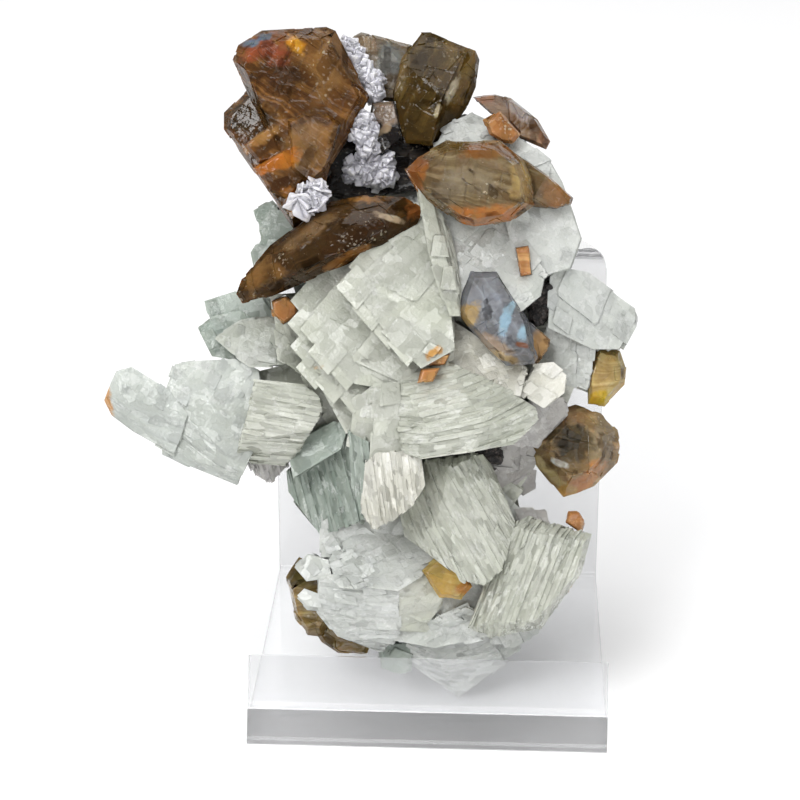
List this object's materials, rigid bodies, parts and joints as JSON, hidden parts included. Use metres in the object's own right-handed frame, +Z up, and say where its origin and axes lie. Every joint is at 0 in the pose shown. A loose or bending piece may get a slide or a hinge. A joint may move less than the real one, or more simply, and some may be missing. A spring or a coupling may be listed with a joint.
{
  "type": "heulandite specimen on a display stand",
  "caption": "Heulandite specimen: amber-brown tabular crystals on a pale mass of stacked rhombic plates, leaning in a clear acrylic stand with a front lip and a back panel.",
  "frame": {"origin": "middle of the underside of the stand's plate, between its front edge and its back bend", "axes": "+X to the viewer's right, +Y from the front lip to the back panel, +Z up"},
  "size_m": [0.0741, 0.0537, 0.0925],
  "materials": {
    "acrylic": "clear, polished edges",
    "pale_plates": "translucent white to pale green plates with a sugary bloom",
    "brown_crystal": "glassy translucent brown to amber",
    "dark_brown_crystal": "glassy dark brown",
    "olive_crystal": "glassy olive brown",
    "grey_brown_crystal": "glassy grey-brown with amber rims",
    "grey_blue_crystal": "glassy grey-blue sheen",
    "amber_crystal": "glassy honey amber",
    "orange_crystal": "orange, slightly dull",
    "smoky_crystal": "dark smoky glass",
    "white_crystal": "small white translucent crystals",
    "dark_rock": "dark basalt-like rock"
  },
  "bodies": {
    "root": {"acrylic_stand": "acrylic", "pale_matrix": "pale_plates", "heulandite_upper_left": "brown_crystal", "heulandite_upper_right": "olive_crystal", "heulandite_long": "dark_brown_crystal", "heulandite_right_front": "grey_brown_crystal", "heulandite_right_back": "grey_brown_crystal", "heulandite_grey_blue": "grey_blue_crystal", "heulandite_amber_upper": "amber_crystal", "heulandite_amber_lower": "amber_crystal", "heulandite_bottom_left": "brown_crystal", "heulandite_bottom_centre": "amber_crystal", "heulandite_top_back": "grey_brown_crystal", "heulandite_smoky_centre": "smoky_crystal", "heulandite_orange_1": "orange_crystal", "heulandite_orange_2": "orange_crystal", "heulandite_orange_3": "orange_crystal", "heulandite_orange_4": "orange_crystal", "heulandite_orange_5": "orange_crystal", "heulandite_orange_6": "orange_crystal", "white_rosette": "white_crystal", "white_cluster_1": "white_crystal", "white_cluster_2": "white_crystal", "white_cluster_3": "white_crystal", "dark_rock_1": "dark_rock", "dark_rock_2": "dark_rock"}
  },
  "joints": []
}
